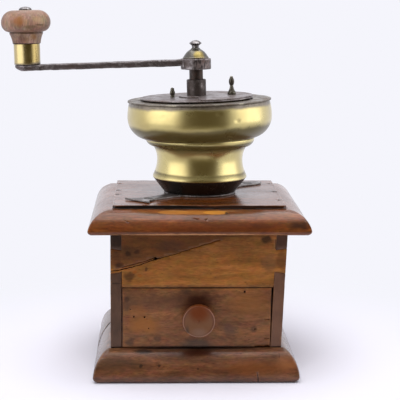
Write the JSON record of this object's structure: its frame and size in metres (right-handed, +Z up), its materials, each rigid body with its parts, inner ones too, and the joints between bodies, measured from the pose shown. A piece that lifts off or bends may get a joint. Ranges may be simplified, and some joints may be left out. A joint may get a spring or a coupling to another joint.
{
  "type": "hand crank coffee grinder",
  "caption": "Wooden box mill with a moulded base and top, a drawer, a flared brass hopper with a round lid, an iron burr mill and a side crank with a turned knob.",
  "frame": {"origin": "centre of the resting face under the base board, below the middle of the box", "axes": "+Z up, -Y the way the drawer opens, -X the way the crank points at rest"},
  "size_m": [0.2265, 0.1594, 0.2701],
  "materials": {
    "base_wood": "varnished, worn",
    "side_wood": "varnished, worn",
    "panel_wood": "varnished, worn",
    "top_wood": "varnished, worn",
    "drawer_wood": "varnished, stained",
    "drawer_box_wood": "planed, bare",
    "drawer_knob_wood": "turned, polished",
    "handle_wood": "turned, worn",
    "nail_iron": "forged, rusty brown",
    "strap_iron": "forged, brown patina",
    "cone_iron": "cast, blackened",
    "burr_iron": "cast, bare",
    "bridge_iron": "forged, dark",
    "hopper_brass": "spun, satin",
    "washer_brass": "turned, tarnished",
    "ferrule_brass": "drawn, satin",
    "rim_iron": "rolled, grey patina",
    "lid_iron": "rolled, grey patina",
    "finial_iron": "turned, dark",
    "crank_iron": "forged, brown-grey patina",
    "spindle_iron": "turned, brown-grey patina"
  },
  "bodies": {
    "mill": {"base_board": "base_wood", "left_side_board": "side_wood", "right_side_board": "side_wood", "front_panel": "panel_wood", "back_board": "panel_wood", "top_board": "top_wood", "left_kicker_strip": "drawer_box_wood", "right_kicker_strip": "drawer_box_wood", "top_nails": "nail_iron", "base_nails": "nail_iron", "mounting_strap": "strap_iron", "strap_screws": "strap_iron", "burr_housing": "cone_iron", "outer_burr": "burr_iron", "lower_bridge": "bridge_iron", "bridge_screws": "bridge_iron", "lock_nut": "bridge_iron", "hopper_neck": "hopper_brass", "hopper_bowl": "hopper_brass", "rim_ring": "rim_iron", "upper_bridge": "bridge_iron", "beam_rivets": "bridge_iron", "bearing_sleeve": "spindle_iron", "lid_plate": "lid_iron", "lid_screw": "finial_iron", "lid_stop_pin": "finial_iron"},
    "drawer": {"drawer_front": "drawer_wood", "drawer_left_side": "drawer_box_wood", "drawer_right_side": "drawer_box_wood", "drawer_back": "drawer_box_wood", "drawer_floor": "drawer_box_wood", "drawer_nails": "nail_iron", "drawer_knob": "drawer_knob_wood"},
    "lid_door": {"lid_door": "lid_iron", "door_finial": "finial_iron"},
    "thrust": {"thrust_ball": "burr_iron"},
    "adjuster": {"adjusting_screw": "bridge_iron"},
    "crank": {"spindle": "spindle_iron", "inner_burr": "burr_iron", "burr_pin": "bridge_iron", "crank_arm": "crank_iron", "dome_washer": "washer_brass", "crank_screw": "crank_iron", "knob_axle": "crank_iron", "axle_washer": "crank_iron"},
    "handle": {"handle_knob": "handle_wood", "knob_ferrule": "ferrule_brass"}
  },
  "joints": [
    {"name": "drawer_slide", "type": "slide", "parent": "mill", "child": "drawer", "axis": [0, -1, 0], "range_m": [0, 0.095]},
    {"name": "lid_door_turn", "type": "hinge", "parent": "mill", "child": "lid_door", "pos_m": [0.00032, 0, 0.20196], "axis": [-0.0279, 0, 0.9996], "range_deg": [0, 80]},
    {"name": "burr_height", "type": "slide", "parent": "mill", "child": "thrust", "axis": [0, 0, 1], "range_m": [-0.0008, 0.0004]},
    {"name": "adjuster_turn", "type": "hinge", "parent": "thrust", "child": "adjuster", "pos_m": [0.003, 0, 0.09], "axis": [0, 0, 1], "range_deg": [-260, 140]},
    {"name": "crank_turn", "type": "hinge", "parent": "thrust", "child": "crank", "pos_m": [0.003, 0, 0.106], "axis": [-0.0279, 0, 0.9996], "continuous": true},
    {"name": "knob_spin", "type": "hinge", "parent": "crank", "child": "handle", "pos_m": [-0.12659, 0, 0.22553], "axis": [-0.0279, 0, 0.9996], "continuous": true}
  ],
  "couplings": [
    {"joint": "adjuster_turn", "follows": "burr_height", "rad_per_m": 5026.5}
  ]
}
